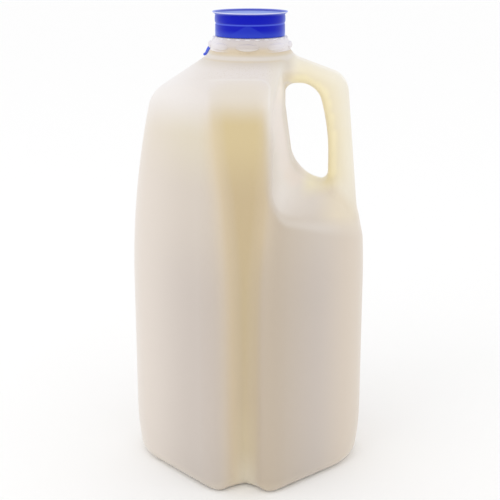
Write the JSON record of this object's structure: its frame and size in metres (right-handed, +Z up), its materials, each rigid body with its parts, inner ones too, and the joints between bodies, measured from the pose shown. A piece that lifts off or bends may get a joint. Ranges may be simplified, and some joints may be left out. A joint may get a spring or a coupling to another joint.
{
  "type": "half-gallon juice bottle with handle",
  "caption": "Half-gallon cloudy plastic bottle of lime juice with a moulded corner handle, grooved corners and a blue snap cap with a tear band and pull tab.",
  "frame": {"origin": "on the floor under the middle of the neck, which is also the middle of the square that the walls make", "axes": "+Z up through the neck; +X along the diagonal to the corner that holds the handle; Y = 0 is the mould's parting plane, and the picture looks along +Y"},
  "size_m": [0.1291, 0.1202, 0.2519],
  "materials": {
    "bottle_plastic": "natural polyethylene, cloudy warm white, soft shine",
    "lime_juice": "cloudy pale yellow juice with a wet surface",
    "cap_plastic": "deep blue polyethylene, soft shine, paler where it is thin"
  },
  "bodies": {
    "root": {"bottle": "bottle_plastic", "juice": "lime_juice", "cap": "cap_plastic"}
  },
  "joints": []
}
